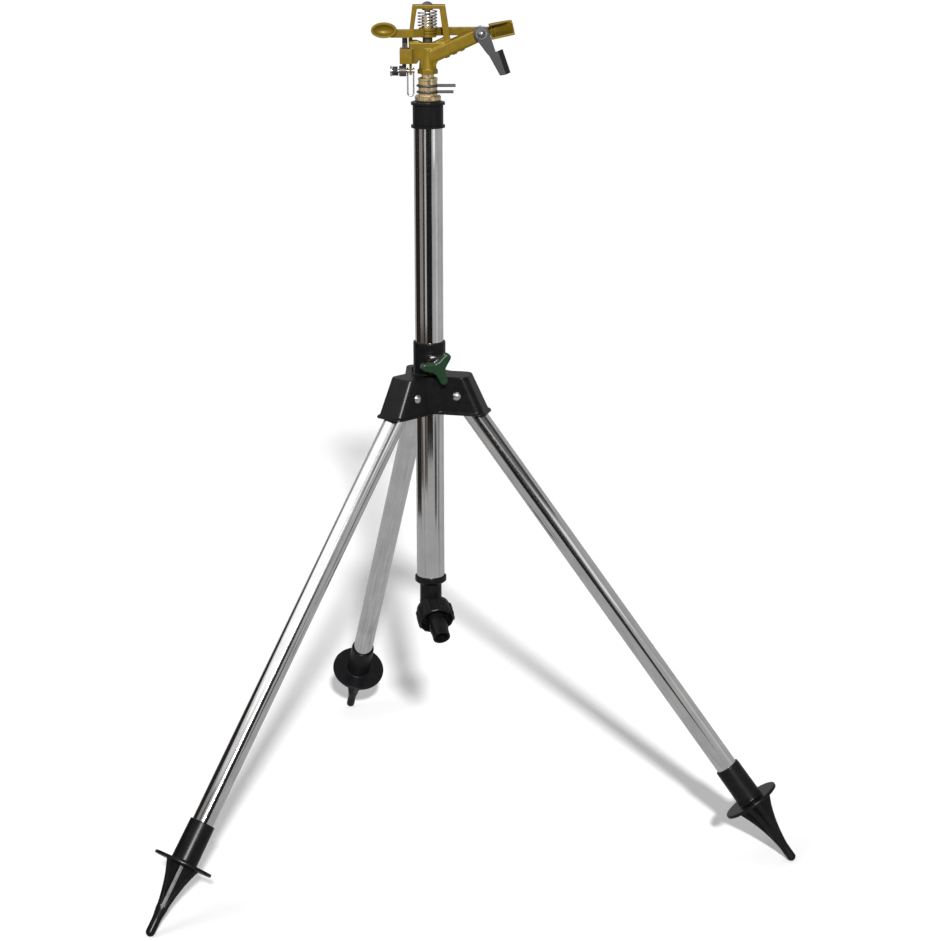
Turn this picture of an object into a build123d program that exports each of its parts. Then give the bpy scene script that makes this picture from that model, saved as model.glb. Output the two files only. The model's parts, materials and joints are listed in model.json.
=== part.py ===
"""Impact sprinkler on a folding tripod, built piece by piece in millimetres.

The origin is on the mast axis at ground level, with +Z up. At rest the nozzle points along +X,
the arm that strikes the jet is closed, the trip lever hangs upright and the three legs are open.
"""

import os

from build123d import *
from math import atan2, cos, degrees, hypot, radians, sin

os.makedirs("parts", exist_ok=True)

# --- fits -----------------------------------------------------------------------------------------
RUNNING = 0.08        # radial gap of a pin that turns in its hole
LOOSE = 0.3           # gap between pieces that move past each other
SNUG = 0.05           # gap between pieces that are pushed or screwed together and stay put

# --- mast -----------------------------------------------------------------------------------------
MAST_RADIUS = 12.5
MAST_WALL = 1.0
MAST_BOTTOM = 241.5
MAST_TOP = 648.6

# --- tripod ---------------------------------------------------------------------------------------
LEG_RADIUS = 9.5
LEG_WALL = 1.0
LEG_AZIMUTHS = {"right": -15.3, "back": 104.7, "left": 224.7}
PANEL_AZIMUTH = 284.7             # middle of the gap between the right and left legs
PIVOT_RADIUS = 28.0               # from the mast axis to a leg's hinge pin
PIVOT_Z = 414.0
TIP_RADIUS = 334.0                # from the mast axis to the centre of a spike's round end
TIP_ROUND = 4.0
LEG_TOP = -5.0                    # leg tube, along the leg from its hinge pin
LEG_BOTTOM = 440.0
PIN_RADIUS = 2.5

# --- feet, measured along the leg from its hinge pin ----------------------------------------------
SOCKET_TOP = 411.0
DISC_TOP = 447.5
DISC_THICKNESS = 2.8
DISC_RADIUS = 26.0
SPIKE_STRAIGHT = 12.0             # plain round length above the spike's round end

# --- hub ------------------------------------------------------------------------------------------
COLLAR_RADIUS = 14.3
COLLAR_TOP = 460.0
COLLAR_BOTTOM = 403.0
HUB_TOP = 431.0
HUB_BOTTOM = 397.0
HUB_REACH_TOP = 37.0
HUB_REACH_BOTTOM = 53.0
HUB_HALF_TOP = 13.3
HUB_HALF_BOTTOM = 14.4
CHANNEL_HALF = 10.1
HUB_ROOF = 3.5

# --- lock knob, measured along its own axis from the mast axis ------------------------------------
KNOB_Z = 441.5
BOSS_END = 23.6
BOSS_SIZE = 14.6
NUT_START = 17.6
NUT_THICKNESS = 4.0
NUT_WIDTH = 10.0
NUT_TOP = 8.8                     # above the stud's axis, a little proud of the boss
STUD_RADIUS = 3.0
PAD_RADIUS = 4.8
PAD_START = 12.7
PAD_THICKNESS = 2.4
KNOB_START = 26.2
KNOB_THICKNESS = 8.0
KNOB_LOBE = 12.2
KNOB_TIP = 3.4

# --- inlet elbow: the outlet leaves the mast axis here, sloping down towards the front -------------
ELBOW_Z = 219.0
ELBOW_SLOPE = 32.0                # below the horizontal
ELBOW_RADIUS = 9.75
UNION_RADIUS = 17.0
TAIL_RADIUS = 8.6                 # over the barbs
TAIL_CORE = 7.8
TAIL_END = 44.0
WATER_RADIUS = 6.0

# --- head heights ---------------------------------------------------------------------------------
NIPPLE_FLANGE_Z = 672.5           # lower face of the nipple's flange, on top of the adapter
NIPPLE_TOP = 691.4
NIPPLE_BOTTOM = 660.0
CASTING_BOTTOM = 694.6
CAGE_FLOOR = 721.4
CAGE_TOP = 753.5
STOP_RING_HEIGHTS = {"upper": 684.5, "lower": 679.1}
STOP_RING_WIRE = 0.9

# --- barrel ---------------------------------------------------------------------------------------
JET_SLOPE = 24.2                  # above the horizontal
BARREL_ROOT_Z = 708.4
BARREL_LENGTH = 53.0
BARREL_HALF = 6.1
BORE_RADIUS = 4.2
HINGE_X = 46.1                    # hinge of the deflector flap
HINGE_Z = 729.5
FLAP_THICKNESS = 1.4
FLANGE_LENGTH = 21.3
FLANGE_WIDTH = 5.2
FLANGE_FOLD = 35.0                # the flange leans back from the blade

# --- arm ------------------------------------------------------------------------------------------
ARM_BOTTOM = 725.9
ARM_HEIGHT = 8.0
ARM_HALF = 2.9
FULCRUM_RADIUS = 2.5
BUSHING_RADIUS = 4.9
BUSHING_TOP = 744.6
ARM_SPRING_RADIUS = 7.9
ARM_SPRING_WIRE = 0.6

# --- trip lever -----------------------------------------------------------------------------------
TRIP_Z = 697.0
TRIP_PIN_RADIUS = 1.5
TRIP_LOOP_BOTTOM = 674.9
TRIP_WIRE = 0.7


def save(name, *solids):
    """Write one node: a single solid, or several separate ones of the same kind."""
    shape = solids[0] if len(solids) == 1 else Compound(children=list(solids))
    export_step(shape, f"parts/{name}.step")


def ring(outer, inner, low, high):
    """A tube on the Z axis between two heights."""
    body = Cylinder(outer, high - low, align=(Align.CENTER, Align.CENTER, Align.MIN))
    hole = Cylinder(inner, high - low + 2, align=(Align.CENTER, Align.CENTER, Align.MIN))
    return Pos(0, 0, low) * (body - Pos(0, 0, -1) * hole)


def rod(radius, low, high):
    """A solid cylinder on the Z axis between two heights."""
    return Pos(0, 0, low) * Cylinder(radius, high - low, align=(Align.CENTER, Align.CENTER, Align.MIN))


def block(x, y, z):
    """A box given by its low and high limits on each axis."""
    middle = [(low + high) / 2 for low, high in (x, y, z)]
    return Pos(*middle) * Box(x[1] - x[0], y[1] - y[0], z[1] - z[0])


def turned(*outline):
    """A solid of revolution about Z from (radius, height) corners."""
    face = make_face(Polyline(*[(radius, 0, height) for radius, height in outline], close=True))
    return revolve(face, Axis.Z)


def plate(outline, front, back):
    """An outline of (x, z) corners, thickened along Y from front to back."""
    face = make_face(Polyline(*[(x, front, z) for x, z in outline], close=True))
    return extrude(face, amount=back - front, dir=(0, 1, 0))


def along_x(shape, x, y, z):
    """Turn a shape built on +Z so that it lies on +X, starting at a point."""
    return Pos(x, y, z) * Rot(0, 90, 0) * shape


def along_y(shape, x, y, z):
    """Turn a shape built on +Z so that it lies on +Y, starting at a point."""
    return Pos(x, y, z) * Rot(-90, 0, 0) * shape


def wire_along(path, radius):
    """Round wire of constant radius along a path."""
    section = Plane(origin=path @ 0, z_dir=path % 0) * Circle(radius)
    return sweep(section, path=path)


def coil(radius, wire, pitch, low, high):
    """A coil spring on the Z axis whose round wire stays between two heights."""
    path = Helix(pitch=pitch, height=high - low - 2 * wire, radius=radius)
    section = Plane(origin=path @ 0, z_dir=path % 0) * Circle(wire)
    return Pos(0, 0, low + wire) * sweep(section, path=path, is_frenet=True)


# --- tripod ---------------------------------------------------------------------------------------
def leg_place(azimuth):
    """Frame of one leg: origin on its hinge pin, +Z down along the leg, Y on the hinge axis."""
    lean = degrees(atan2(TIP_RADIUS - PIVOT_RADIUS, PIVOT_Z - TIP_ROUND))
    return Rot(0, 0, azimuth) * Pos(PIVOT_RADIUS, 0, PIVOT_Z) * Rot(0, 180 - lean, 0)


def leg_length():
    """From the hinge pin to the centre of the spike's round end."""
    return hypot(TIP_RADIUS - PIVOT_RADIUS, PIVOT_Z - TIP_ROUND)


def cross_hole(radius, reach):
    """A cutter along Y through the origin."""
    return along_y(rod(radius, 0, 2 * reach), 0, -reach, 0)


def leg_tube():
    tube = ring(LEG_RADIUS, LEG_RADIUS - LEG_WALL, LEG_TOP, LEG_BOTTOM)
    return tube - cross_hole(PIN_RADIUS + RUNNING, LEG_RADIUS + 1)


def foot():
    """Socket, ground disc and a four-ribbed spike that curves in to a round end."""
    tip = leg_length()
    disc_bottom = DISC_TOP + DISC_THICKNESS
    socket = turned(
        (LEG_RADIUS + SNUG, SOCKET_TOP),
        (11.2, SOCKET_TOP),
        (11.6, DISC_TOP),
        (DISC_RADIUS, DISC_TOP),
        (DISC_RADIUS, disc_bottom),
        (0, disc_bottom),
        (0, LEG_BOTTOM + SNUG),
        (LEG_RADIUS + SNUG, LEG_BOTTOM + SNUG),
    )
    straight = tip - SPIKE_STRAIGHT
    flare = Spline((19.0, disc_bottom), (10.8, disc_bottom + 18), (6.4, disc_bottom + 34), (TIP_ROUND, straight))
    outline = [
        Line((0, disc_bottom - 1), (19.0, disc_bottom - 1)),
        Line((19.0, disc_bottom - 1), (19.0, disc_bottom)),
        flare,
        Line((TIP_ROUND, straight), (TIP_ROUND, tip)),
        Line((TIP_ROUND, tip), (0, tip)),
        Line((0, tip), (0, disc_bottom - 1)),
    ]
    face = Plane.XZ * make_face(Wire(outline))
    envelope = revolve(face, Axis.Z)
    ribs = [Rot(0, 0, turn) * Box(44, 4.4, 80) for turn in (0, 90)]
    cross = Pos(0, 0, disc_bottom + 38) * (ribs[0] + ribs[1]) + rod(5.2, disc_bottom - 2, tip)
    spike = envelope & cross
    end = Pos(0, 0, tip) * Sphere(TIP_ROUND)
    return socket + spike + end


def build_legs():
    for side, azimuth in LEG_AZIMUTHS.items():
        place = leg_place(azimuth)
        save(f"{side}_leg_tube", place * leg_tube())
        save(f"{side}_foot", place * foot())


# --- hub ------------------------------------------------------------------------------------------
def tapered_arm(top_reach, bottom_reach, half_top, half_bottom, low, high, corner):
    """One hollow-looking arm of the hub, from the mast axis outwards along +X."""
    top = Plane.XY.offset(high) * Pos(top_reach / 2) * RectangleRounded(top_reach, 2 * half_top, corner)
    bottom = (
        Plane.XY.offset(low) * Pos(bottom_reach / 2) * RectangleRounded(bottom_reach, 2 * half_bottom, corner)
    )
    return loft([bottom, top])


def hub_reach(height):
    """How far an arm of the hub reaches from the mast axis at a height."""
    share = (HUB_TOP - height) / (HUB_TOP - HUB_BOTTOM)
    return HUB_REACH_TOP + share * (HUB_REACH_BOTTOM - HUB_REACH_TOP)


def hub_arm():
    arm = tapered_arm(
        HUB_REACH_TOP, HUB_REACH_BOTTOM, HUB_HALF_TOP, HUB_HALF_BOTTOM, HUB_BOTTOM, HUB_TOP, 7
    )
    lip_low = HUB_BOTTOM
    lip_high = HUB_BOTTOM + 2
    lip = tapered_arm(
        hub_reach(lip_high) + 1.4,
        hub_reach(lip_low) + 1.4,
        HUB_HALF_BOTTOM + 1.2,
        HUB_HALF_BOTTOM + 1.2,
        lip_low,
        lip_high,
        7,
    )
    return arm + lip


def hub_corner():
    """Concave web that blends two neighbouring arms, centred on +X."""
    reach = 31.0
    half = 13.0
    near = (HUB_HALF_TOP + 0.5) / sin(radians(60))
    outline = [
        Line((near - 6, 0), (reach * cos(radians(60)) + half * 0.5, -reach * 0.62)),
        ThreePointArc(
            (reach * cos(radians(60)) + half * 0.5, -reach * 0.62),
            (near + 3.5, 0),
            (reach * cos(radians(60)) + half * 0.5, reach * 0.62),
        ),
        Line((reach * cos(radians(60)) + half * 0.5, reach * 0.62), (near - 6, 0)),
    ]
    return Pos(0, 0, HUB_BOTTOM + 2.5) * extrude(make_face(Wire(outline)), amount=HUB_TOP - HUB_BOTTOM - 2.5)


def leg_channel():
    """The space inside one arm that the top of the leg swings in."""
    top = HUB_TOP - HUB_ROOF
    near = 16.8
    side = [
        (near, HUB_BOTTOM - 5),
        (hub_reach(HUB_BOTTOM - 5) - 2.2, HUB_BOTTOM - 5),
        (hub_reach(top) - 2.2, top),
        (near, top),
    ]
    return plate(side, -CHANNEL_HALF, CHANNEL_HALF)


def knob_boss():
    """Square boss on the collar for the lock nut, along +X."""
    half = BOSS_SIZE / 2
    boss = block((10, BOSS_END), (-half, half), (KNOB_Z - half, KNOB_Z + half))
    return fillet(boss.edges().filter_by(Axis.X), 2.5)


def knob_cutters():
    """Pad bore, nut slot and stud hole through the boss, along +X."""
    slot_half = NUT_WIDTH / 2 + 0.1
    slot = block(
        (NUT_START - 0.1, NUT_START + NUT_THICKNESS + 0.1),
        (-slot_half, slot_half),
        (KNOB_Z - slot_half, KNOB_Z + BOSS_SIZE),
    )
    pad_bore = along_x(rod(PAD_RADIUS + LOOSE, 8, NUT_START), 0, 0, KNOB_Z)
    stud_bore = along_x(rod(STUD_RADIUS + LOOSE + 0.1, 8, BOSS_END + 2), 0, 0, KNOB_Z)
    return slot + pad_bore + stud_bore


def hub_body():
    collar = ring(COLLAR_RADIUS, MAST_RADIUS, COLLAR_BOTTOM, COLLAR_TOP)
    body = rod(COLLAR_RADIUS, COLLAR_BOTTOM, HUB_TOP)
    for azimuth in LEG_AZIMUTHS.values():
        body += Rot(0, 0, azimuth) * hub_arm()
        body += Rot(0, 0, azimuth + 60) * hub_corner()
    body += collar
    body += Rot(0, 0, PANEL_AZIMUTH) * knob_boss()
    for turn in (120, 240):
        nub = Pos(COLLAR_RADIUS, 0, HUB_TOP - 1) * Cylinder(2.2, 12)
        body += Rot(0, 0, PANEL_AZIMUTH + turn) * nub
    for azimuth in LEG_AZIMUTHS.values():
        body -= Rot(0, 0, azimuth) * leg_channel()
        body -= leg_place(azimuth) * rod(LEG_RADIUS + LOOSE, 0, 60)
        body -= Rot(0, 0, azimuth) * Pos(PIVOT_RADIUS, 0, PIVOT_Z) * cross_hole(PIN_RADIUS + 0.01, 25)
    body -= Rot(0, 0, PANEL_AZIMUTH) * knob_cutters()
    body -= rod(MAST_RADIUS + LOOSE, HUB_BOTTOM - 10, COLLAR_TOP + 10)
    return body


def pivot_pin():
    """Rivet with a domed head on each side of the hub's arm."""
    half = (HUB_HALF_TOP + HUB_HALF_BOTTOM) / 2 + 0.2
    shank = cross_hole(PIN_RADIUS, half)
    heads = []
    for side in (-1, 1):
        dome = Sphere(5.0) & Pos(0, 0, 5) * Box(12, 12, 4.4)
        heads.append(Pos(0, side * (half - 2.8), 0) * Rot(-90 * side, 0, 0) * dome)
    return Pos(PIVOT_RADIUS, 0, PIVOT_Z) * (shank + heads[0] + heads[1])


def wing_knob():
    """Three rounded lobes with hollow flanks between them, on a short boss, along +Z."""
    hub = Circle(6.2)
    lobes = hub
    for turn in (0, 120, 240):
        tip = Rot(0, 0, turn) * Pos(KNOB_LOBE) * Circle(KNOB_TIP)
        root = Circle(5.0)
        lobes += make_hull((tip + root).edges())
    wings = extrude(lobes, amount=KNOB_THICKNESS)
    wings = fillet(wings.faces().sort_by(Axis.Z)[-1].edges(), 1.6)
    return wings + rod(5.4, -2.0, 0)


def build_hub():
    save("hub_body", hub_body())
    save("leg_pivot_pins", *[Rot(0, 0, azimuth) * pivot_pin() for azimuth in LEG_AZIMUTHS.values()])
    turn = Rot(0, 0, PANEL_AZIMUTH)
    half = NUT_WIDTH / 2
    nut = block((NUT_START, NUT_START + NUT_THICKNESS), (-half, half), (KNOB_Z - half, KNOB_Z + NUT_TOP))
    nut -= along_x(rod(STUD_RADIUS + RUNNING, 0, 40), 0, 0, KNOB_Z)
    save("lock_nut", turn * nut)
    pad = along_x(rod(PAD_RADIUS, PAD_START, PAD_START + PAD_THICKNESS), 0, 0, KNOB_Z)
    pad -= rod(MAST_RADIUS + 0.1, KNOB_Z - 10, KNOB_Z + 10)
    save("clamp_pad", turn * pad)
    stud = along_x(rod(STUD_RADIUS, PAD_START + PAD_THICKNESS + 0.1, KNOB_START + 3), 0, 0, KNOB_Z)
    save("lock_stud", turn * stud)
    knob = Pos(KNOB_START, 0, KNOB_Z) * Rot(0, 90, 0) * Rot(0, 0, 22) * wing_knob()
    knob -= along_x(rod(STUD_RADIUS + 0.01, 0, KNOB_START + 3), 0, 0, KNOB_Z)
    save("lock_knob", turn * knob)


# --- mast -----------------------------------------------------------------------------------------
def build_mast():
    save("mast_tube", ring(MAST_RADIUS, MAST_RADIUS - MAST_WALL, MAST_BOTTOM, MAST_TOP))
    plug = MAST_RADIUS - MAST_WALL - SNUG
    adapter = turned(
        (8.2, 628),
        (plug, 628),
        (plug, 633),
        (plug - 1.2, 633),
        (plug - 1.2, 635.4),
        (plug, 635.4),
        (plug, MAST_TOP),
        (14.8, MAST_TOP),
        (14.8, MAST_TOP + 2),
        (13.3, MAST_TOP + 2.6),
        (13.3, 667.6),
        (14.8, 668.4),
        (14.8, 670.4),
        (11.0, NIPPLE_FLANGE_Z - 0.9),
        (10.4 + SNUG, NIPPLE_FLANGE_Z - 0.9),
        (10.4 + SNUG, 654),
        (8.2, 654),
    )
    save("top_adapter", adapter)
    save("nipple_gasket", ring(11.0, 10.4 + SNUG, NIPPLE_FLANGE_Z - 0.9, NIPPLE_FLANGE_Z))
    seal = Torus(plug - 0.6, 0.58)
    save("tube_seals", Pos(0, 0, 634.2) * seal, Pos(0, 0, 254.2) * seal)


def elbow_place():
    """Frame of the elbow's outlet: +Z runs out of the elbow, down towards the front."""
    return Rot(0, 0, PANEL_AZIMUTH) * Pos(0, 0, ELBOW_Z) * Rot(0, 90 + ELBOW_SLOPE, 0)


def inlet_elbow():
    """Plug and cup on the lower end of the mast, neck, bend and threaded spigot."""
    plug = MAST_RADIUS - MAST_WALL - SNUG
    upper = turned(
        (0, ELBOW_Z),
        (ELBOW_RADIUS, ELBOW_Z),
        (ELBOW_RADIUS, 236.5),
        (12.0, 237.2),
        (14.2, 239),
        (14.2, 243.5),
        (13.3, 243.5),
        (MAST_RADIUS + SNUG, 242.5),
        (MAST_RADIUS + SNUG, MAST_BOTTOM),
        (plug, MAST_BOTTOM),
        (plug, 253),
        (plug - 1.2, 253),
        (plug - 1.2, 255.4),
        (plug, 255.4),
        (plug, 262),
        (0, 262),
    )
    bend = Pos(0, 0, ELBOW_Z) * Sphere(ELBOW_RADIUS + 0.3)
    spigot = rod(ELBOW_RADIUS, 0, 8) + rod(13.0, 6, 13)
    water = rod(WATER_RADIUS + 1.5, ELBOW_Z, 270)
    outlet = rod(WATER_RADIUS + 1.5, 0, 20)
    body = upper + bend + elbow_place() * spigot
    return body - water - elbow_place() * outlet - Pos(0, 0, ELBOW_Z) * Sphere(WATER_RADIUS + 1.5)


def union_nut():
    """Ribbed nut with a deep mouth around the hose tail."""
    shell = turned(
        (13.0 + SNUG, 7),
        (14.8, 7),
        (UNION_RADIUS - 1.0, 12),
        (UNION_RADIUS - 1.0, 23.5),
        (UNION_RADIUS - 1.8, 25),
        (14.0, 25),
        (13.2, 17.6),
        (TAIL_RADIUS + 0.6, 17.6),
        (TAIL_RADIUS + 0.6, 16),
        (13.0 + SNUG, 16),
    )
    for index in range(12):
        rib = Rot(0, 0, 30 * index) * block((15.4, UNION_RADIUS), (-1.8, 1.8), (12.2, 23.6))
        shell += rib
    return shell


def hose_tail():
    """Flanged tail with three barbs for a half-inch hose."""
    outline = [(WATER_RADIUS, 14), (12.4, 14), (12.4, 15.9), (TAIL_CORE, 15.9)]
    for index in range(3):
        start = 22 + 5.5 * index
        outline += [(TAIL_CORE, start), (TAIL_RADIUS, start), (TAIL_CORE, start + 5)]
    outline += [(TAIL_CORE, TAIL_END), (WATER_RADIUS, TAIL_END)]
    return turned(*outline)


def build_inlet():
    place = elbow_place()
    save("inlet_elbow", inlet_elbow())
    save("union_nut", place * union_nut())
    save("hose_tail", place * hose_tail())
    save("hose_washer", place * ring(12.2, WATER_RADIUS + 1.5, 13, 14))


# --- bearing --------------------------------------------------------------------------------------
def build_bearing():
    tube_radius = 5.4
    bore = tube_radius + RUNNING
    tube = turned(
        (4.0, 655.2),
        (7.2, 655.2),
        (7.2, 657.4),
        (tube_radius, 657.4),
        (tube_radius, 689.2),
        (6.7, 689.2),
        (6.7, 690.8),
        (tube_radius, 690.8),
        (tube_radius, 705),
        (4.0, 705),
    )
    save("bearing_tube", tube)
    outline = [(bore, NIPPLE_BOTTOM), (9.6, NIPPLE_BOTTOM), (10.4, 661), (10.4, NIPPLE_FLANGE_Z)]
    outline += [(11.4, NIPPLE_FLANGE_Z), (11.4, 675.3), (10.6, 676.2), (8.2, 676.2)]
    outline += [(8.2, NIPPLE_TOP - 2.6), (8.5, NIPPLE_TOP - 2.2), (8.5, NIPPLE_TOP - 0.5)]
    outline += [(8.0, NIPPLE_TOP), (7.1, NIPPLE_TOP), (7.1, 678), (bore, 678)]
    nipple = turned(*outline)
    for height in STOP_RING_HEIGHTS.values():
        nipple -= ring(9, 7.8, height - 1.25, height + 1.25)
    save("bearing_nipple", nipple)
    save("bearing_washers", *[ring(7.4, bore + 0.1, z, z + 0.75) for z in (657.6, 658.4, 659.2)])
    save("bearing_spring", coil(6.25, 0.45, 2.2, 678.05, 689.0))


def stop_ring(height, reach, spread):
    """Open wire ring round the nipple whose two crossed ends reach out along +X."""
    loop_radius = 7.8 + LOOSE + STOP_RING_WIRE
    start = (loop_radius * cos(radians(spread)), loop_radius * sin(radians(spread)))
    end = (start[0], -start[1])
    arc = ThreePointArc(start, (-loop_radius, 0), end)
    loop = Plane(origin=arc @ 0, z_dir=arc % 0) * Circle(STOP_RING_WIRE)
    ring_wire = sweep(loop, path=arc)
    for side in (1, -1):
        corner = Pos(start[0], side * start[1], 0)
        ring_wire += corner * Sphere(STOP_RING_WIRE)
        ring_wire += corner * along_x(rod(STOP_RING_WIRE, 0, reach - start[0]), 0, 0, 0)
    return Pos(0, 0, height) * ring_wire


def build_stop_rings():
    reaches = {"upper": 24.0, "lower": 22.2}
    for level, height in STOP_RING_HEIGHTS.items():
        save(f"{level}_stop_ring", stop_ring(height, reaches[level], 24))


# --- head casting ---------------------------------------------------------------------------------
def jet_place():
    """Frame of the barrel: origin at its root on the mast axis, +Z out along the jet."""
    return Pos(0, 0, BARREL_ROOT_Z) * Rot(0, 90 - JET_SLOPE, 0)


def cage():
    """Trapezoid bridge that carries the top of the fulcrum pin, with an open window."""
    outer = [(-15.8, 712), (-16.4, 724), (-12.8, CAGE_TOP), (15.2, CAGE_TOP), (19.8, 723), (19.8, 717)]
    window = [
        (-13.2, 723.4),
        (-9.0, CAGE_TOP - 3.4),
        (10.4, CAGE_TOP - 3.4),
        (13.6, 725.6),
        (4.4, CAGE_FLOOR),
        (-4.4, CAGE_FLOOR),
        (-9.5, 723.4),
    ]
    frame = plate(outer, -4.8, 4.8) - plate(window, -8, 8)
    boss = rod(4.6, CAGE_TOP - 4.8, CAGE_TOP - 1)
    return frame + boss


def lower_web():
    """Solid web between the cage, the socket and the root of the barrel."""
    outline = [
        (-15.8, 722),
        (-15.8, 703.6),
        (-9.4, 703.6),
        (-6.6, 707.5),
        (-6.0, 700),
        (6.0, 700),
        (9, 706),
        (24, 713),
        (19, 722),
    ]
    return plate(outline, -5.4, 5.4) - block((-20, 24), (-9, 9), (CAGE_FLOOR, 730))


def socket():
    """Hexagon and flared body that screw down over the bearing tube."""
    hexagon = extrude(RegularPolygon(8.9, 6), amount=4)
    flare = turned((0, 698), (7.7, 698), (6.5, 710), (6.2, 716), (0, 716))
    return Pos(0, 0, CASTING_BOTTOM) * hexagon + flare


def barrel():
    """Square-shouldered barrel with rounded edges and a row of ribs below."""
    body = Box(2 * BARREL_HALF, 2 * BARREL_HALF, BARREL_LENGTH, align=(Align.CENTER, Align.CENTER, Align.MIN))
    body = fillet(body.edges().filter_by(Axis.Z), 2.4)
    for index in range(3):
        rib = Pos(BARREL_HALF + 0.2, 0, 16 + 7 * index) * Box(1.4, 6, 4)
        body += rib
    return jet_place() * body


def trip_mounts():
    """Two cheeks that guard the trip finger, and the lug that holds the trip pin."""
    cheeks = block((-24, -13), (-8.4, -5.3), (703.6, 716.4)) + block((-24, -13), (5.3, 8.4), (703.6, 716.4))
    lug = block((-15.8, -13.6), (-3.4, 3.4), (TRIP_Z, 706)) + along_x(rod(3.4, 0, 2.2), -15.8, 0, TRIP_Z)
    return cheeks + lug


def body_casting():
    body = cage() + lower_web() + socket() + barrel() + trip_mounts()
    body += rod(4.4, 716, CAGE_FLOOR + 0.4)
    body += along_y(rod(6.3, 0, 2.4), HINGE_X, -8.0, HINGE_Z)
    body -= rod(5.4 + 0.01, CASTING_BOTTOM - 1, 705)
    body -= rod(4.0, 700, BARREL_ROOT_Z)
    body -= Pos(0, 0, BARREL_ROOT_Z) * Sphere(BORE_RADIUS)
    body -= jet_place() * rod(BORE_RADIUS, 0, BARREL_LENGTH + 1)
    body -= jet_place() * rod(4.8 + 0.01, BARREL_LENGTH - 12, BARREL_LENGTH + 1)
    body -= rod(FULCRUM_RADIUS + 0.01, 716, CAGE_TOP + 1)
    body -= along_x(rod(TRIP_PIN_RADIUS + 0.01, 0, 4), -17, 0, TRIP_Z)
    body -= along_y(rod(2.0 + 0.01, 0, 2.7), HINGE_X, -8.1, HINGE_Z)
    return body


def build_casting():
    save("body_casting", body_casting())
    pin = rod(FULCRUM_RADIUS, 716, CAGE_TOP + 0.4)
    save("fulcrum_pin", pin)
    dome = Pos(0, 0, CAGE_TOP - 2.9) * Sphere(5.6) & block((-6, 6), (-6, 6), (CAGE_TOP, CAGE_TOP + 4))
    dome -= rod(FULCRUM_RADIUS + 0.01, CAGE_TOP - 1, CAGE_TOP + 0.4)
    save("pin_cap_nut", dome)
    nozzle = ring(4.8, 2.7, BARREL_LENGTH - 11, BARREL_LENGTH) + ring(5.2, 2.7, BARREL_LENGTH, BARREL_LENGTH + 1.2)
    save("nozzle", jet_place() * nozzle)


# --- arm ------------------------------------------------------------------------------------------
def bar_along(*points):
    """The arm's bar through (x, y) points, rounded on its upper and lower edges."""
    top = ARM_BOTTOM + ARM_HEIGHT
    bar = None
    for (x0, y0), (x1, y1) in zip(points, points[1:]):
        length = hypot(x1 - x0, y1 - y0)
        turn = degrees(atan2(y1 - y0, x1 - x0))
        piece = Pos(x0, y0, 0) * Rot(0, 0, turn) * block(
            (0, length), (-ARM_HALF, ARM_HALF), (ARM_BOTTOM + 0.6, top - 0.6)
        )
        elbow = Pos(x1, y1, 0) * rod(ARM_HALF, ARM_BOTTOM + 0.6, top - 0.6)
        bar = piece + elbow if bar is None else bar + piece + elbow
    return bar


def counterweight():
    """Oval dished paddle on the back end of the arm, facing the front."""
    middle = Pos(-37.2, -12.4, 732.9)
    paddle = Rot(90, 0, 0) * extrude(Ellipse(11.0, 6.5), amount=5.2)
    dish = Pos(0, -3.4, 0) * scale(Sphere(4.0), by=(2.3, 1.0, 1.2))
    return middle * (Pos(0, 2.6, 0) * paddle - dish)


def vane():
    """Curved bucket that the jet strikes, with a floor and a narrower roof."""
    inner = ThreePointArc((0, 5.4), (11, 3.6), (20, -3.0))
    outer = ThreePointArc((20.6, -1.2), (11.6, 5.6), (0, 7.8))
    wall = make_face(Wire([inner, Line(inner @ 1, outer @ 0), outer, Line(outer @ 1, inner @ 0)]))
    lip = make_face(Wire([inner, Line(inner @ 1, (0, -4.2)), Line((0, -4.2), inner @ 0)]))
    body = extrude(wall, amount=13) + extrude(lip, amount=1.8) + Pos(0, 0, 11.4) * extrude(lip, amount=1.6)
    cut = Pos(3, -6, 12.4) * Box(50, 10, 4)
    return Pos(55.0, 0, 723.6) * Rot(0, -12, 0) * (body - cut)


def impact_arm():
    hub = rod(7.6, ARM_BOTTOM, ARM_BOTTOM + ARM_HEIGHT)
    for height in (ARM_BOTTOM + 2.2, ARM_BOTTOM + 4.6):
        hub -= ring(9, 6.9, height, height + 1.1)
    back = bar_along((0, 0), (-5.4, -6.6), (-12.8, -9.8), (-29, -9.8))
    front = bar_along((0, 0), (5.4, 6.6), (12.8, 9.8), (50, 11.2), (58, 7.6))
    body = hub + back + front + counterweight() + vane()
    return body - rod(BUSHING_RADIUS + 0.01, ARM_BOTTOM - 1, ARM_BOTTOM + ARM_HEIGHT + 1)


def build_arm():
    save("impact_arm", impact_arm())
    save("arm_bushing", ring(BUSHING_RADIUS, FULCRUM_RADIUS + RUNNING, ARM_BOTTOM, BUSHING_TOP))
    washers = [ring(4.2, FULCRUM_RADIUS + SNUG, z, z + 1.8) for z in (CAGE_FLOOR + 0.45, CAGE_FLOOR + 2.35)]
    save("arm_washers", *washers)
    spring_low = ARM_BOTTOM + ARM_HEIGHT + 0.1
    save("arm_spring", coil(ARM_SPRING_RADIUS, ARM_SPRING_WIRE, 2.6, spring_low, CAGE_TOP - 4.9))


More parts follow.
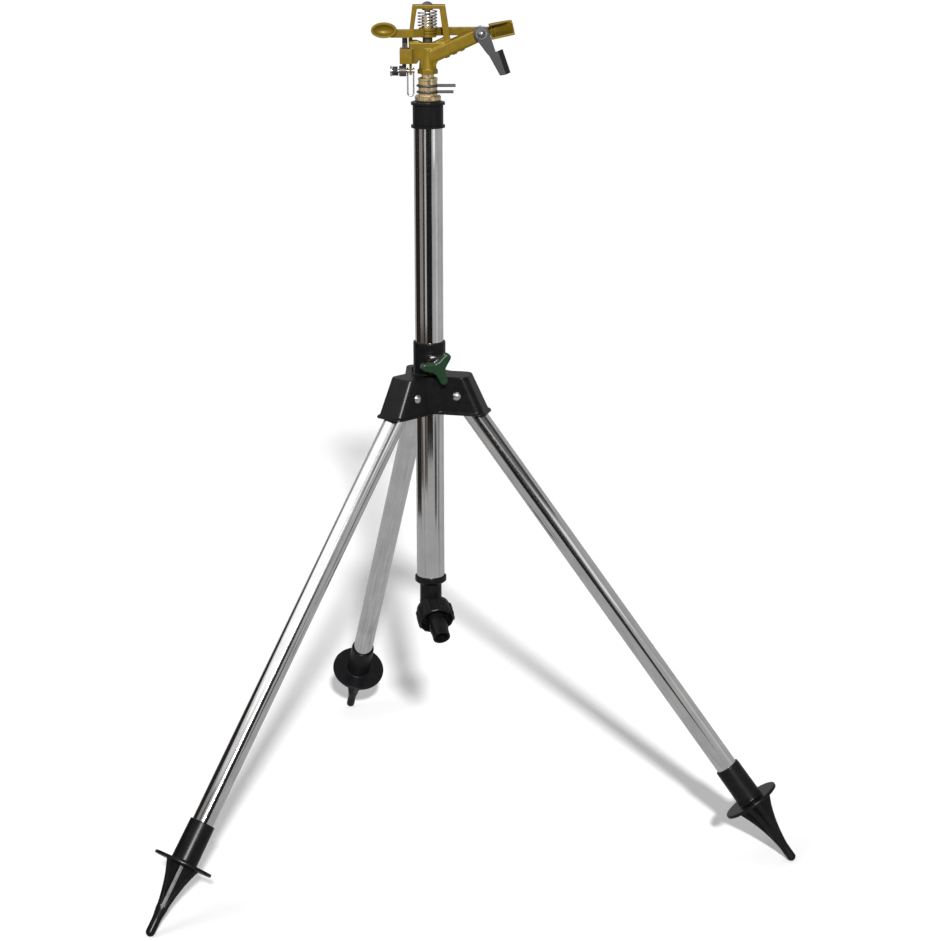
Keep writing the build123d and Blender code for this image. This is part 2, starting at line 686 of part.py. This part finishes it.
# --- deflector flap -------------------------------------------------------------------------------
def deflector_flap():
    """Sheet-steel strap hanging from its hinge, with a blade folded back behind the jet line."""
    strap = make_hull((Circle(6.6) + Pos(17, -0.2) * Circle(3.8)).edges())
    blade = make_face(Polyline((15, -3.4), (19.6, 4.8), (40.6, 1.2), (39.0, -3.2), close=True))
    sheet = extrude(strap + blade, amount=FLAP_THICKNESS)
    edge = Pos(19.6, 4.6, 0) * Rot(0, 0, -9.7)
    flange = block((0, FLANGE_LENGTH), (-0.3, FLANGE_WIDTH), (0.2, FLAP_THICKNESS))
    flange = edge * Rot(-FLANGE_FOLD, 0, 0) * flange
    body = sheet + flange - Pos(0, 0, -1) * rod(2.0 + RUNNING, 0, 4)
    return Pos(HINGE_X, -8.3, HINGE_Z) * Rot(90, 0, 0) * Rot(0, 0, -61.3) * body


def build_flap():
    save("deflector_flap", deflector_flap())
    washer = ring(5.0, 2.0 + SNUG, 0, 0.9)
    save("flap_washer", Pos(HINGE_X, -10.0, HINGE_Z) * Rot(90, 0, 0) * washer)
    dome = Sphere(3.7) & block((-5, 5), (-5, 5), (1.4, 5))
    screw = rod(2.0, -5.3, 1.0) + Pos(0, 0, -0.5) * dome
    save("flap_screw", Pos(HINGE_X, -10.9, HINGE_Z) * Rot(90, 0, 0) * screw)


# --- trip lever -----------------------------------------------------------------------------------
def trip_hub():
    """Turning boss on the trip pin with the finger that stands up beside the arm."""
    boss = along_x(rod(4.6, 0, 6.2), -24.6, 0, TRIP_Z)
    finger = block((-21.8, -18.4), (-1.6, 1.6), (TRIP_Z, 706)) + block((-21.8, -17.2), (-1.6, 1.6), (705, 725.2))
    return boss + finger - along_x(rod(TRIP_PIN_RADIUS + RUNNING, 0, 10), -26, 0, TRIP_Z)


def trip_wire():
    """Wire loop that hangs into the path of the stop rings, with an eye at each end."""
    left, right = -17.3, -12.2
    bend = (right - left) / 2
    floor = TRIP_LOOP_BOTTOM + TRIP_WIRE + bend
    eye = TRIP_PIN_RADIUS + RUNNING + TRIP_WIRE
    loop = Wire(
        [
            Line((left, 0, TRIP_Z - eye), (left, 0, floor)),
            ThreePointArc((left, 0, floor), (left + bend, 0, floor - bend), (right, 0, floor)),
            Line((right, 0, floor), (right, 0, TRIP_Z - eye)),
        ]
    )
    wire = wire_along(loop, TRIP_WIRE)
    for x in (left, right):
        wire += along_x(Torus(eye, TRIP_WIRE), x, 0, TRIP_Z)
    return wire


def build_trip():
    save("trip_lever", trip_hub())
    save("trip_wire", trip_wire())
    pin = along_x(rod(TRIP_PIN_RADIUS, 0, 20.2), -31.4, 0, TRIP_Z)
    pin += along_x(rod(4.4, 0, 1.2), -32.2, 0, TRIP_Z)
    save("trip_pin", pin)
    save("trip_spring", along_x(coil(3.6, 0.5, 1.15, 0, 5.9), -30.9, 0, TRIP_Z))


build_legs()
build_hub()
build_mast()
build_inlet()
build_bearing()
build_stop_rings()
build_casting()
build_arm()
build_flap()
build_trip()
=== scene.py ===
"""Impact sprinkler on a folding tripod: materials, fine pieces, studio and camera."""

import json
from math import cos, radians, sin

import bpy
from mathutils import Matrix, Vector


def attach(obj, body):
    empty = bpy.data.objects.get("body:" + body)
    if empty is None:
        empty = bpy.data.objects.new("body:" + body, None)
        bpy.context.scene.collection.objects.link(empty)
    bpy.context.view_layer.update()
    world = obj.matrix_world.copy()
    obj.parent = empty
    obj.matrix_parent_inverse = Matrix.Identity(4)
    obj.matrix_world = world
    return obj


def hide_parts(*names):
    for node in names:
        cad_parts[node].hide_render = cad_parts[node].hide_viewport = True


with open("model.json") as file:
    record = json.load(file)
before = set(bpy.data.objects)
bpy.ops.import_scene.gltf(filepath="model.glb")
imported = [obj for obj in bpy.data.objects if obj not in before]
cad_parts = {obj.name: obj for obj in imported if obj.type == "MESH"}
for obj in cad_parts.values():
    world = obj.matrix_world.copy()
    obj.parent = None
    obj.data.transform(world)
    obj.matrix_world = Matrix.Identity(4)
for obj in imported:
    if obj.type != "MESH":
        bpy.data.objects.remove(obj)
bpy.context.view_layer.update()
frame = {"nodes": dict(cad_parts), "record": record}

NODES = frame["nodes"]
MM = 0.001

# --- camera: it stands in front of the mast and looks slightly down -------------------------------
CAMERA_DISTANCE = 2.2514
CAMERA_HEIGHT = 0.9405
CAMERA_TURN = radians(0.92)
CAMERA_TILT = radians(14.91)
CAMERA_ROLL = radians(-0.11)
CAMERA_LENS = 99.5                # millimetres
SENSOR_WIDTH = 36.0               # millimetres
NEAREST_SEEN = 0.05
FARTHEST_SEEN = 50.0


# --- node helpers ---------------------------------------------------------------------------------
def new_material(name):
    """An empty material with its shader, its tree and object coordinates in millimetres."""
    material = bpy.data.materials.new(name)
    material.use_nodes = True
    tree = material.node_tree
    shader = tree.nodes["Principled BSDF"]
    place = tree.nodes.new("ShaderNodeTexCoord")
    scale = tree.nodes.new("ShaderNodeVectorMath")
    scale.operation = "SCALE"
    scale.inputs["Scale"].default_value = 1 / MM
    tree.links.new(place.outputs["Object"], scale.inputs[0])
    return material, tree, shader, scale.outputs[0]


def noise(tree, where, per_mm, detail=4.0, rough=0.55):
    """Noise with a number of lumps for each millimetre."""
    node = tree.nodes.new("ShaderNodeTexNoise")
    node.inputs["Scale"].default_value = per_mm
    node.inputs["Detail"].default_value = detail
    node.inputs["Roughness"].default_value = rough
    tree.links.new(where, node.inputs["Vector"])
    return node.outputs["Fac"]


def stretched(tree, where, scale):
    """The coordinates scaled differently on each axis, for drawn or turned surfaces."""
    node = tree.nodes.new("ShaderNodeVectorMath")
    node.operation = "MULTIPLY"
    node.inputs[1].default_value = scale
    tree.links.new(where, node.inputs[0])
    return node.outputs[0]


def ramp(tree, value, stops):
    """A colour ramp through (position, colour) stops, or (position, grey) stops."""
    node = tree.nodes.new("ShaderNodeValToRGB")
    elements = node.color_ramp.elements
    while len(elements) < len(stops):
        elements.new(0.5)
    for element, (position, colour) in zip(elements, stops):
        element.position = position
        element.color = (colour, colour, colour, 1) if isinstance(colour, float) else (*colour, 1)
    tree.links.new(value, node.inputs["Fac"])
    return node.outputs["Color"]


def mixed(tree, share, first, second):
    """Two colours mixed by a share; either may be an output or a plain colour."""
    node = tree.nodes.new("ShaderNodeMix")
    node.data_type = "RGBA"
    tree.links.new(share, node.inputs["Factor"])
    for socket, colour in ((node.inputs[6], first), (node.inputs[7], second)):
        if isinstance(colour, tuple):
            socket.default_value = (*colour, 1)
        else:
            tree.links.new(colour, socket)
    return node.outputs[2]


def ranged(tree, value, low, high, start=0.0, end=1.0):
    """A value moved from one range to another."""
    node = tree.nodes.new("ShaderNodeMapRange")
    node.inputs["From Min"].default_value = start
    node.inputs["From Max"].default_value = end
    node.inputs["To Min"].default_value = low
    node.inputs["To Max"].default_value = high
    tree.links.new(value, node.inputs["Value"])
    return node.outputs["Result"]


def bumped(tree, shader, height, depth_mm, strength=1.0, after=None):
    """Bump of a real depth in millimetres, chained after another bump if one is given."""
    node = tree.nodes.new("ShaderNodeBump")
    node.inputs["Strength"].default_value = strength
    node.inputs["Distance"].default_value = depth_mm * MM
    tree.links.new(height, node.inputs["Height"])
    if after is not None:
        tree.links.new(after, node.inputs["Normal"])
    tree.links.new(node.outputs["Normal"], shader.inputs["Normal"])
    return node.outputs["Normal"]


def sharp_edges(tree, low, high):
    """1 along the sharp outer edges, 0 elsewhere."""
    node = tree.nodes.new("ShaderNodeNewGeometry")
    return ranged(tree, node.outputs["Pointiness"], 0.0, 1.0, low, high)


def hollows(tree, reach_mm, closed, open_air):
    """1 on open surfaces, falling to 0 deep in the piece's own hollows and inner corners; it masks the
    painted shade there.
    """
    node = tree.nodes.new("ShaderNodeAmbientOcclusion")
    node.samples = 8
    node.only_local = True
    node.inputs["Distance"].default_value = reach_mm * MM
    return ranged(tree, node.outputs["AO"], 0.0, 1.0, closed, open_air)


# --- materials ------------------------------------------------------------------------------------
def gold_enamel():
    """Satin olive-gold enamel on cast zinc: orange peel, painted shade in its hollows, edges partly rubbed
    and partly lit by a painted highlight.
    """
    material, tree, shader, where = new_material("gold_enamel")
    cloudy = noise(tree, where, 0.16)
    base = ramp(tree, cloudy, [(0.3, (0.105, 0.067, 0.0022)), (0.7, (0.160, 0.103, 0.0045))])
    speckle = ramp(tree, noise(tree, where, 2.6, 6), [(0.38, 0.0), (0.62, 1.0)])
    base = mixed(tree, speckle, base, (0.130, 0.083, 0.0032))
    # partly rubbed enamel, partly a painted highlight: lighter gold along the sharp outer edges
    rubbed_and_lit_edges = sharp_edges(tree, 0.53, 0.60)
    colour = mixed(tree, rubbed_and_lit_edges, base, (0.26, 0.190, 0.035))
    # painted shade: dark brown mixed in where the piece's own hollows and inner corners lie in shade
    colour = mixed(tree, hollows(tree, 7.0, 0.35, 0.92), (0.022, 0.013, 0.0015), colour)
    tree.links.new(colour, shader.inputs["Base Color"])
    shader.inputs["Metallic"].default_value = 0.35
    shader.inputs["Specular IOR Level"].default_value = 0.16
    tree.links.new(ranged(tree, cloudy, 0.36, 0.50), shader.inputs["Roughness"])
    shader.inputs["Coat Weight"].default_value = 0.06
    shader.inputs["Coat Roughness"].default_value = 0.22
    peel = bumped(tree, shader, noise(tree, where, 1.1, 2), 0.10, 0.5)
    bumped(tree, shader, noise(tree, where, 5.0, 3), 0.03, 0.4, after=peel)
    return material


def chrome():
    """Bright chrome tube with faint lengthwise draw lines and smears."""
    material, tree, shader, where = new_material("chrome")
    shader.inputs["Metallic"].default_value = 1.0
    smear = noise(tree, where, 0.05, 3)
    tree.links.new(ramp(tree, smear, [(0.3, (0.70, 0.70, 0.72)), (0.7, (0.80, 0.80, 0.81))]),
                   shader.inputs["Base Color"])
    lines = noise(tree, stretched(tree, where, (3.0, 3.0, 0.02)), 1.0, 2)
    tree.links.new(ranged(tree, lines, 0.05, 0.13, 0.3, 0.7), shader.inputs["Roughness"])
    bumped(tree, shader, lines, 0.004, 0.35)
    return material


def black_plastic():
    """Moulded black nylon with a fine spark-eroded grain and a few scuffs."""
    material, tree, shader, where = new_material("black_plastic")
    cloudy = noise(tree, where, 0.12)
    drawn_out = stretched(tree, where, (0.9, 0.9, 0.25))
    scuff = ramp(tree, noise(tree, drawn_out, 1.0, 6), [(0.60, 0.0), (0.72, 1.0)])
    base = ramp(tree, cloudy, [(0.3, (0.0028, 0.0028, 0.0032)), (0.7, (0.0050, 0.0050, 0.0058))])
    tree.links.new(mixed(tree, scuff, base, (0.008, 0.008, 0.009)), shader.inputs["Base Color"])
    shader.inputs["Specular IOR Level"].default_value = 0.14
    tree.links.new(ranged(tree, cloudy, 0.26, 0.36), shader.inputs["Roughness"])
    grain = bumped(tree, shader, noise(tree, where, 4.5, 2), 0.05, 0.35)
    bumped(tree, shader, noise(tree, where, 0.35, 2), 0.15, 0.25, after=grain)
    return material


def green_plastic():
    """Dark green moulded plastic, lighter along its sharp edges: partly rubbed plastic, partly a painted
    highlight.
    """
    material, tree, shader, where = new_material("green_plastic")
    cloudy = noise(tree, where, 0.3)
    base = ramp(tree, cloudy, [(0.3, (0.0022, 0.0165, 0.0050)), (0.7, (0.0034, 0.0240, 0.0075))])
    # partly rubbed plastic, partly a painted highlight: lighter green along the sharp outer edges
    rubbed_and_lit_edges = sharp_edges(tree, 0.52, 0.60)
    tree.links.new(mixed(tree, rubbed_and_lit_edges, base, (0.045, 0.120, 0.060)), shader.inputs["Base Color"])
    shader.inputs["Specular IOR Level"].default_value = 0.4
    tree.links.new(ranged(tree, cloudy, 0.26, 0.40), shader.inputs["Roughness"])
    bumped(tree, shader, noise(tree, where, 3.0, 2), 0.04, 0.3)
    return material


def brass():
    """Turned brass: fine tool rings round the axis, tarnish in patches."""
    material, tree, shader, where = new_material("brass")
    shader.inputs["Metallic"].default_value = 1.0
    tarnish = noise(tree, where, 0.22, 3)
    base = ramp(tree, tarnish, [(0.35, (0.66, 0.50, 0.27)), (0.65, (0.76, 0.60, 0.36))])
    tree.links.new(base, shader.inputs["Base Color"])
    tree.links.new(ranged(tree, tarnish, 0.34, 0.18, 0.3, 0.7), shader.inputs["Roughness"])
    rings = noise(tree, stretched(tree, where, (0.02, 0.02, 5.0)), 1.0, 2)
    bumped(tree, shader, rings, 0.012, 0.35)
    return material


def zinc_steel():
    """Zinc-plated steel: soft grey, brushed, slightly mottled."""
    material, tree, shader, where = new_material("zinc_steel")
    shader.inputs["Metallic"].default_value = 1.0
    mottle = noise(tree, where, 0.6, 5)
    base = ramp(tree, mottle, [(0.35, (0.20, 0.20, 0.21)), (0.65, (0.29, 0.29, 0.30))])
    tree.links.new(base, shader.inputs["Base Color"])
    tree.links.new(ranged(tree, mottle, 0.26, 0.36), shader.inputs["Roughness"])
    brushing = noise(tree, stretched(tree, where, (4.0, 4.0, 0.5)), 1.0, 3)
    bumped(tree, shader, brushing, 0.015, 0.4)
    return material


def plain_metal(name, dark, bright, rough):
    """Drawn wire or rolled sheet with faint marks, between two shades of grey."""
    material, tree, shader, where = new_material(name)
    shader.inputs["Metallic"].default_value = 1.0
    marks = noise(tree, where, 3.0, 4)
    tree.links.new(ramp(tree, marks, [(0.3, dark), (0.7, bright)]), shader.inputs["Base Color"])
    tree.links.new(ranged(tree, marks, rough, 1.6 * rough), shader.inputs["Roughness"])
    bumped(tree, shader, marks, 0.01, 0.3)
    return material


def dark_nylon():
    """Brown-black moulded nylon."""
    material, tree, shader, where = new_material("dark_nylon")
    cloudy = noise(tree, where, 0.5, 5)
    tree.links.new(ramp(tree, cloudy, [(0.3, (0.020, 0.013, 0.010)), (0.7, (0.040, 0.027, 0.020))]),
                   shader.inputs["Base Color"])
    tree.links.new(ranged(tree, cloudy, 0.35, 0.52), shader.inputs["Roughness"])
    bumped(tree, shader, noise(tree, where, 4.0, 2), 0.04, 0.35)
    return material


def rubber():
    """Soft black rubber with a powdery bloom."""
    material, tree, shader, where = new_material("rubber")
    bloom = noise(tree, where, 0.8, 5)
    tree.links.new(ramp(tree, bloom, [(0.35, (0.014, 0.014, 0.014)), (0.7, (0.035, 0.035, 0.034))]),
                   shader.inputs["Base Color"])
    tree.links.new(ranged(tree, bloom, 0.6, 0.8), shader.inputs["Roughness"])
    bumped(tree, shader, noise(tree, where, 5.0, 2), 0.04, 0.4)
    return material


MATERIALS = {
    "gold_enamel": gold_enamel(),
    "chrome": chrome(),
    "black_plastic": black_plastic(),
    "green_plastic": green_plastic(),
    "brass": brass(),
    "steel": zinc_steel(),
    "dark_nylon": dark_nylon(),
    "rubber": rubber(),
}

# Metals that are brighter, or darker and duller, than their slot's material, and the nodes that have them.
# The darker two are shaded copies of the steel: painted shade on the trip spring, the stop rings and the
# flap.
BRIGHT_METAL = plain_metal("bright_wire", (0.50, 0.50, 0.52), (0.70, 0.70, 0.72), 0.18)
# painted shade: wire steel darkened nearly to black, for the trip spring and the stop rings
SHADED_METAL = plain_metal("shaded_wire", (0.055, 0.057, 0.060), (0.090, 0.092, 0.095), 0.45)
# painted shade: sheet steel darkened, for the deflector flap
SHADED_SHEET = plain_metal("shaded_sheet", (0.090, 0.090, 0.095), (0.135, 0.135, 0.140), 0.25)
SPECIAL = {
    "arm_spring": BRIGHT_METAL,
    "bearing_spring": BRIGHT_METAL,
    "trip_spring": SHADED_METAL,
    "trip_wire": BRIGHT_METAL,
    "lock_nut": BRIGHT_METAL,
    "leg_pivot_pins": BRIGHT_METAL,
    "upper_stop_ring": SHADED_METAL,
    "lower_stop_ring": SHADED_METAL,
    "deflector_flap": SHADED_SHEET,
}


def slot_of(node):
    """The material slot that the record gives a node."""
    return next(part["material_slot"] for part in frame["record"]["subparts"] if part["node"] == node)


def finish_of(node):
    """The material that a node is shown in."""
    return SPECIAL.get(node, MATERIALS[slot_of(node)])


def dress_cad_nodes():
    """Give every carried-over node its material."""
    for part in frame["record"]["subparts"]:
        node = NODES[part["node"]]
        for index in range(len(node.material_slots)):
            node.material_slots[index].material = finish_of(part["node"])


# --- finished shapes ------------------------------------------------------------------------------
def body_of(node):
    """The body that a node belongs to."""
    return next(body for body, nodes in frame["record"]["behaviour"]["bodies"].items() if node in nodes)


def softened(node, voxel, passes, kept):
    """A copy of a node with the rounded edges of a casting or a moulding, in the node's own place.

    voxel is the grain of the new surface in millimetres, passes how far its edges are smoothed, and
    kept the share of its faces that stays.
    """
    source = NODES[node]
    piece = bpy.data.objects.new(f"{node}_finish", source.data.copy())
    piece.matrix_world = source.matrix_world
    bpy.context.scene.collection.objects.link(piece)
    weld = piece.modifiers.new("weld", "WELD")
    weld.merge_threshold = 0.001 * MM
    remesh = piece.modifiers.new("remesh", "REMESH")
    remesh.mode = "VOXEL"
    remesh.voxel_size = voxel * MM
    smooth = piece.modifiers.new("smooth", "SMOOTH")
    smooth.factor = 0.5
    smooth.iterations = passes
    fewer = piece.modifiers.new("fewer", "DECIMATE")
    fewer.ratio = kept
    bpy.context.view_layer.update()
    mesh = bpy.data.meshes.new_from_object(piece.evaluated_get(bpy.context.evaluated_depsgraph_get()))
    piece.modifiers.clear()
    piece.data = mesh
    mesh.shade_smooth()
    mesh.materials.clear()
    mesh.materials.append(finish_of(node))
    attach(piece, body_of(node))
    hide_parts(node)
    return piece


# The castings and mouldings, with their voxel, passes and kept.
SOFTENED = {
    "body_casting": (0.35, 6, 0.40),
    "impact_arm": (0.30, 4, 0.35),
    "trip_lever": (0.30, 4, 0.60),
    "hub_body": (0.60, 5, 0.35),
    "lock_knob": (0.35, 6, 0.60),
    "deflector_flap": (0.25, 2, 0.50),
    "inlet_elbow": (0.45, 4, 0.50),
    "union_nut": (0.45, 4, 0.50),
    "right_foot": (0.55, 4, 0.40),
    "left_foot": (0.55, 4, 0.40),
    "back_foot": (0.55, 4, 0.40),
}


def soften_castings():
    """Replace every casting and moulding by its softened copy."""
    for node, (voxel, passes, kept) in SOFTENED.items():
        softened(node, voxel, passes, kept)


# --- studio ---------------------------------------------------------------------------------------
def make_camera():
    """The camera, aimed by its turn, tilt and roll."""
    ahead = Vector((sin(CAMERA_TURN), cos(CAMERA_TURN), 0))
    aside = Vector((cos(CAMERA_TURN), -sin(CAMERA_TURN), 0))
    up = Vector((0, 0, 1))
    view = cos(CAMERA_TILT) * ahead - sin(CAMERA_TILT) * up
    over = sin(CAMERA_TILT) * ahead + cos(CAMERA_TILT) * up
    right = cos(CAMERA_ROLL) * aside + sin(CAMERA_ROLL) * over
    top = cos(CAMERA_ROLL) * over - sin(CAMERA_ROLL) * aside
    data = bpy.data.cameras.new("camera")
    data.lens = CAMERA_LENS
    data.sensor_width = SENSOR_WIDTH
    data.clip_start = NEAREST_SEEN
    data.clip_end = FARTHEST_SEEN
    camera = bpy.data.objects.new("camera", data)
    bpy.context.scene.collection.objects.link(camera)
    camera.matrix_world = Matrix.Translation((0, -CAMERA_DISTANCE, CAMERA_HEIGHT)) @ Matrix(
        (right, top, -view)
    ).transposed().to_4x4()
    bpy.context.scene.camera = camera


FLOOR_HALF = 20.0


def flat_square(name, half, height):
    """A level square round the mast's axis, for the studio."""
    mesh = bpy.data.meshes.new(name)
    corners = [(-half, -half, height), (half, -half, height), (half, half, height), (-half, half, height)]
    mesh.from_pydata(corners, [], [(0, 1, 2, 3)])
    square = bpy.data.objects.new(name, mesh)
    bpy.context.scene.collection.objects.link(square)
    return square


def make_floor():
    """A wide white floor that fills the background."""
    floor = flat_square("floor", FLOOR_HALF, 0)
    material, tree, shader, where = new_material("floor")
    tree.links.new(ramp(tree, noise(tree, where, 0.01, 2), [(0.3, 0.86), (0.7, 0.88)]),
                   shader.inputs["Base Color"])
    shader.inputs["Roughness"].default_value = 0.9
    shader.inputs["Specular IOR Level"].default_value = 0.0
    floor.data.materials.append(material)
    floor.visible_glossy = False


def glow(name, brightness, tint):
    """A surface that shows only in reflections: its glow, streaked from top to bottom."""
    material, tree, shader, where = new_material(name)
    streaks = noise(tree, stretched(tree, where, (0.03, 0.03, 0.001)), 1.0, 3)
    low = tuple(0.72 * brightness * part for part in tint)
    high = tuple(1.28 * brightness * part for part in tint)
    tree.links.new(ramp(tree, streaks, [(0.3, low), (0.7, high)]), shader.inputs["Emission Color"])
    shader.inputs["Base Color"].default_value = (0, 0, 0, 1)
    shader.inputs["Roughness"].default_value = 1.0
    shader.inputs["Specular IOR Level"].default_value = 0.0
    shader.inputs["Emission Strength"].default_value = 1.0
    return material


def only_reflected(thing, material):
    """Hide a studio surface from everything but reflections."""
    thing.data.materials.append(material)
    thing.visible_camera = False
    thing.visible_diffuse = False
    thing.visible_shadow = False
    thing.visible_transmission = False
    thing.visible_volume_scatter = False


def wall_panel(name, start, end, low, high, radius, material):
    """Part of a round wall: degrees from the front towards the right, heights in metres."""
    steps = max(2, round((end - start) / FACET_DEGREES))
    corners = []
    for index in range(steps + 1):
        turn = radians(start + (end - start) * index / steps)
        for height in (low, high):
            corners.append((radius * sin(turn), -radius * cos(turn), height))
    faces = [(2 * k, 2 * k + 2, 2 * k + 3, 2 * k + 1) for k in range(steps)]
    mesh = bpy.data.meshes.new(name)
    mesh.from_pydata(corners, [], faces)
    panel = bpy.data.objects.new(name, mesh)
    bpy.context.scene.collection.objects.link(panel)
    only_reflected(panel, material)


ROOM_RADIUS = 0.86
ROOM_HEIGHT = 1.9
ROOM_GREY = 0.42
ROOM_FLOOR_HEIGHT = 0.0005        # just above the floor that is seen
FACET_DEGREES = 6
PANEL_GAP = 0.002                 # each panel hangs this far in front of the one before
NEUTRAL = (1.0, 0.99, 0.97)
BROWN = (1.0, 0.80, 0.66)

# The panels on the room's wall: (from, to, low, high, brightness, tint). From and to are degrees from
# the front towards the right, low and high are heights in metres, and a later panel covers an earlier one.
PANELS = (
    (-128, -76, 0.06, 0.60, 0.022, BROWN),
    (-76, -48, 0.30, 0.60, 0.27, NEUTRAL),
    (-76, -48, 0.10, 0.30, 0.11, BROWN),
    (-48, -32, 0.10, 0.60, 0.040, BROWN),
    (-32, -18, 0.30, 0.60, 0.50, NEUTRAL),
    (-32, -18, 0.10, 0.30, 0.12, BROWN),
    (-18, 26, 0.14, 0.60, 0.010, NEUTRAL),
    (38, 56, 0.06, 0.19, 0.05, NEUTRAL),
    (68, 78, 0.04, 0.24, 0.06, NEUTRAL),
    (56, 78, 0.26, 0.50, 0.56, NEUTRAL),
    (36, 54, 0.50, 0.68, 0.95, NEUTRAL),
    (20, 52, 0.70, 0.90, 0.14, NEUTRAL),
    (54, 92, 0.74, 1.20, 0.06, NEUTRAL),
    (-118, 2, 0.60, 1.75, 0.75, NEUTRAL),
    (-106, -12, 0.70, 1.65, 1.30, NEUTRAL),
)


def make_room():
    """The room that the bright metal reflects; nothing of it is seen or casts light or shade."""
    wall = glow("room_wall", ROOM_GREY, NEUTRAL)
    wall_panel("room_wall", -180, 180, 0, ROOM_HEIGHT, ROOM_RADIUS, wall)
    ground = flat_square("room_floor", 2 * ROOM_RADIUS, ROOM_FLOOR_HEIGHT)
    only_reflected(ground, glow("room_floor", ROOM_GREY, NEUTRAL))
    for number, (start, end, low, high, brightness, tint) in enumerate(PANELS):
        name = f"room_panel_{number}"
        radius = ROOM_RADIUS - PANEL_GAP * (number + 1)
        wall_panel(name, start, end, low, high, radius, glow(name, brightness, tint))


def area_light(name, place, target, size, power):
    """A square light that faces a point."""
    data = bpy.data.lights.new(name, "AREA")
    data.size = size
    data.energy = power
    light = bpy.data.objects.new(name, data)
    bpy.context.scene.collection.objects.link(light)
    light.location = place
    light.rotation_mode = "QUATERNION"
    light.rotation_quaternion = (Vector(target) - Vector(place)).to_track_quat("-Z", "Y")


KEY_HEIGHT = radians(27)          # above the horizon, so that the shadows fall long behind
KEY_SIDE = radians(4)             # towards the right of the front
KEY_SIZE = radians(3.2)
KEY_POWER = 4.7
SOFTBOX_PLACE = (-1.4, -1.2, 1.7)
SOFTBOX_TARGET = (0, 0, 0.45)
SOFTBOX_SIZE = 1.0
SOFTBOX_POWER = 9.0
WORLD_POWER = 0.48


def make_world():
    """Even white light from all round."""
    world = bpy.data.worlds.new("studio")
    world.use_nodes = True
    bpy.context.scene.world = world
    background = world.node_tree.nodes["Background"]
    background.inputs["Color"].default_value = (1, 1, 1, 1)
    background.inputs["Strength"].default_value = WORLD_POWER


def make_lights():
    """A low sun for the key, and a softbox on the left."""
    data = bpy.data.lights.new("key", "SUN")
    data.energy = KEY_POWER
    data.angle = KEY_SIZE
    key = bpy.data.objects.new("key", data)
    bpy.context.scene.collection.objects.link(key)
    source = Vector((sin(KEY_SIDE) * cos(KEY_HEIGHT), -cos(KEY_SIDE) * cos(KEY_HEIGHT), sin(KEY_HEIGHT)))
    key.rotation_mode = "QUATERNION"
    key.rotation_quaternion = (-source).to_track_quat("-Z", "Y")
    area_light("softbox", SOFTBOX_PLACE, SOFTBOX_TARGET, SOFTBOX_SIZE, SOFTBOX_POWER)


dress_cad_nodes()
soften_castings()
make_camera()
make_floor()
make_world()
make_lights()
make_room()
bpy.context.scene.view_settings.view_transform = "Standard"
